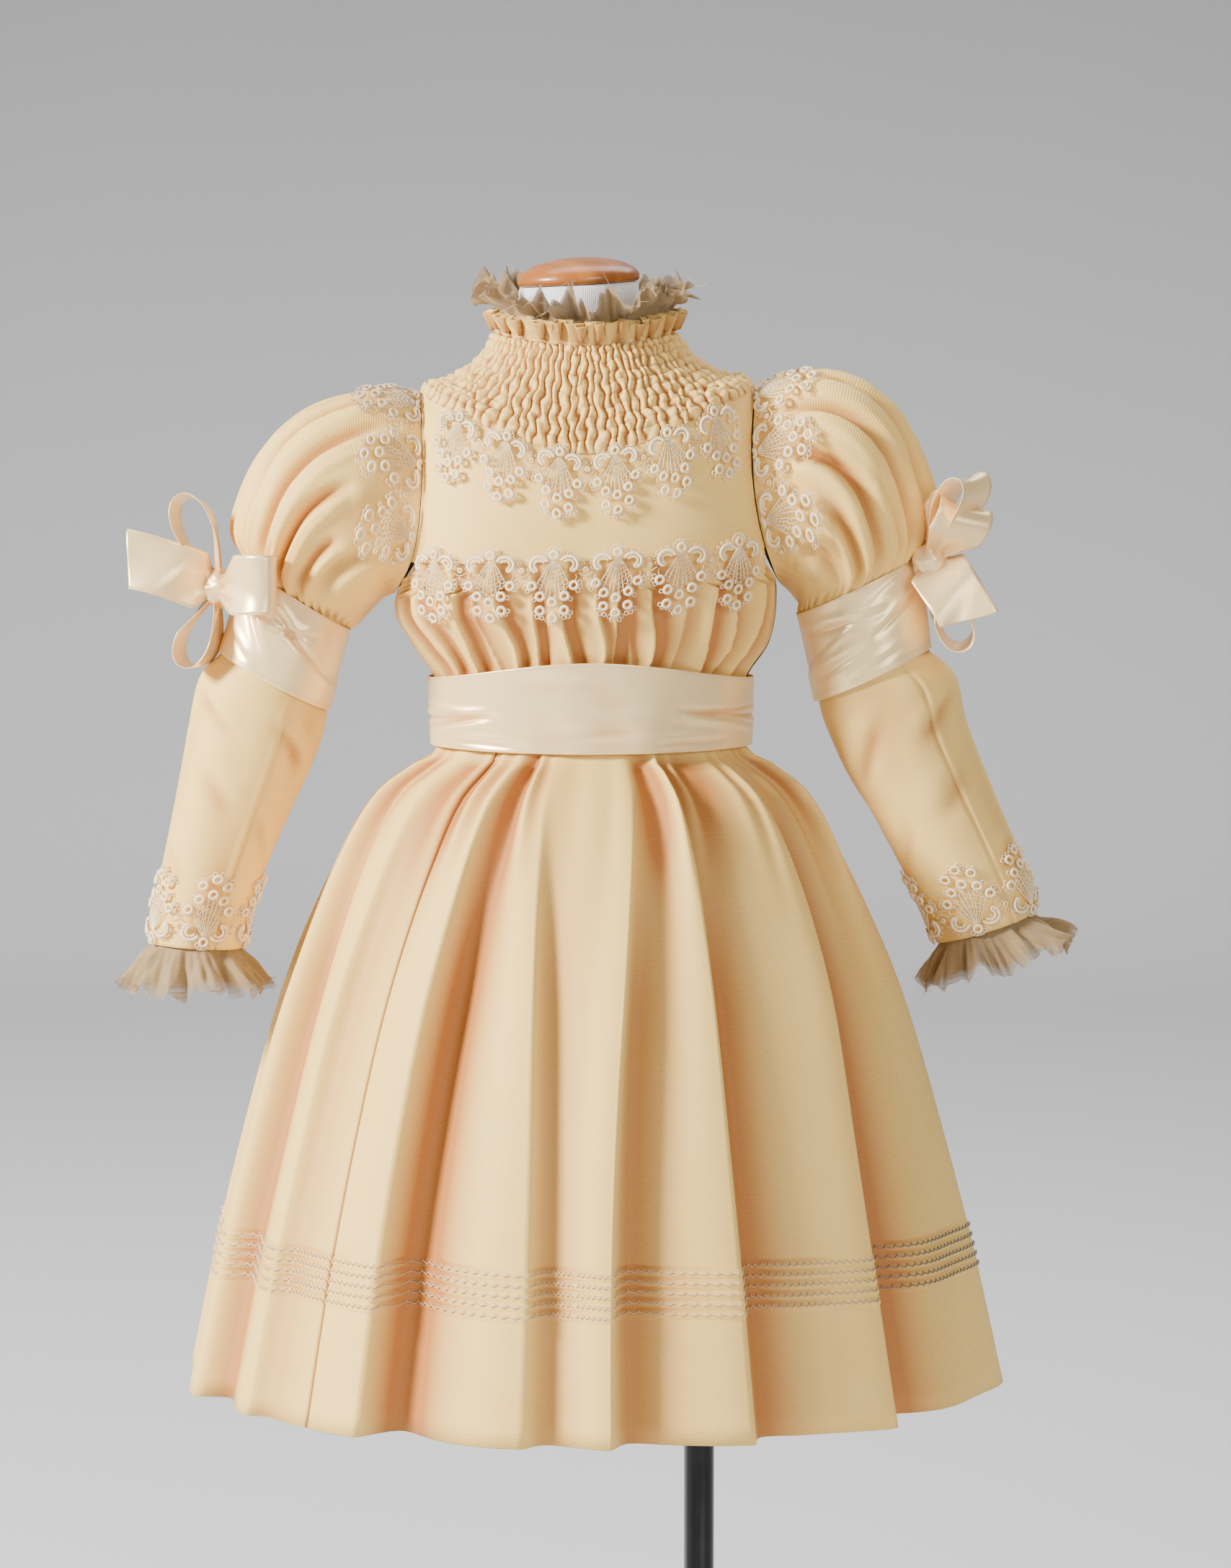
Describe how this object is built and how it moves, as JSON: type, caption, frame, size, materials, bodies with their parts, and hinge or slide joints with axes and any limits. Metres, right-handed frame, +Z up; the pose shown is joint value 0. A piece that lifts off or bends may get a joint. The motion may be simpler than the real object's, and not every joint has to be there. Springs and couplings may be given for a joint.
{
  "type": "child's lace-trimmed dress on a dress form",
  "caption": "Small child's silk dress with smocked yoke, lace rows, puffed sleeves, satin belt and bows, worn by a limbless dress form on a pole with a round base.",
  "frame": {"origin": "middle of the base plate's underside, straight below the dress's middle", "axes": "+Z up, the dress's front towards -Y, +X to the viewer's right"},
  "size_m": [0.593, 0.4287, 0.9852],
  "materials": {
    "silk": "ribbed silk, cream to pale apricot",
    "satin": "satin ribbon, pinkish cream",
    "lace": "corded lace, aged off-white",
    "organza": "frayed sheer organza, grey beige",
    "jersey": "white cotton jersey",
    "wood": "oiled beech",
    "enamel": "gloss black"
  },
  "bodies": {
    "root": {"smocked_yoke": "silk", "collar_frill": "silk", "neck_ruffle": "organza", "yoke_front": "silk", "yoke_back": "silk", "bodice_front": "silk", "bodice_back": "silk", "belt": "satin", "skirt_front": "silk", "skirt_right": "silk", "skirt_back": "silk", "skirt_left": "silk", "sleeve_puff_left": "silk", "sleeve_puff_right": "silk", "arm_band_left": "satin", "arm_band_right": "satin", "sleeve_lower_left": "silk", "sleeve_lower_right": "silk", "cuff_ruffle_left": "organza", "cuff_ruffle_right": "organza", "lace_cap_left": "lace", "lace_cap_right": "lace", "lace_cuff_left_front": "lace", "lace_cuff_left_back": "lace", "lace_cuff_right_front": "lace", "lace_cuff_right_back": "lace", "lace_neck_front": "lace", "lace_neck_back": "lace", "lace_yoke_front": "lace", "lace_yoke_back": "lace", "bow_left": "satin", "bow_right": "satin", "dress_form": "jersey", "neck_cap": "wood", "base_plate": "enamel", "pole": "enamel"}
  },
  "joints": []
}
